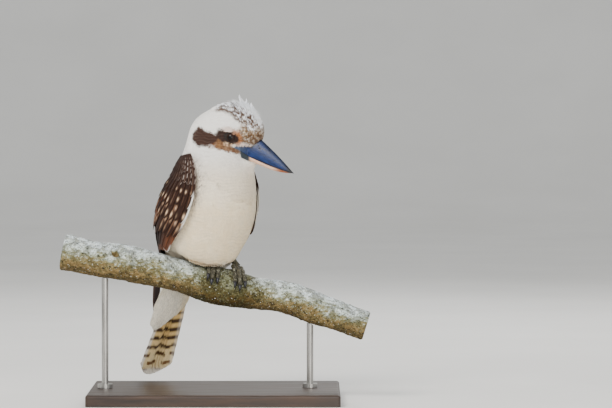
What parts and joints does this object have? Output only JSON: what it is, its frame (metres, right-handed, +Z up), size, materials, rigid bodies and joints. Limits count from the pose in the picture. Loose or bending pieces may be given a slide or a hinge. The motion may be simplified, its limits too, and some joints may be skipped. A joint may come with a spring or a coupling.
{
  "type": "laughing kookaburra",
  "caption": "Laughing kookaburra as a life-size still model, perched upright on a cut length of lichened branch held by a plain display stand.",
  "frame": {"origin": "middle of the stand's flat underside", "axes": "+Z up; +X along the perch towards the side the bill points to; -Y towards the side the model is displayed from"},
  "size_m": [0.3734, 0.2081, 0.3618],
  "materials": {
    "board": "satin",
    "rod": "satin",
    "bark": "matte",
    "horn_dark": "gloss",
    "horn_pale": "satin",
    "plumage_cream": "matte",
    "plumage_brown": "matte",
    "plumage_barred": "matte",
    "eye": "gloss",
    "leg": "satin"
  },
  "bodies": {
    "root": {"stand_base": "board", "stand_rod_left": "rod", "stand_rod_right": "rod", "perch": "bark", "bill_upper": "horn_dark", "bill_lower": "horn_pale", "head": "plumage_cream", "eye_right": "eye", "eye_left": "eye", "neck": "plumage_cream", "torso": "plumage_cream", "wing_right": "plumage_brown", "wing_left": "plumage_brown", "tail": "plumage_barred", "leg_right": "leg", "leg_left": "leg"}
  },
  "joints": []
}
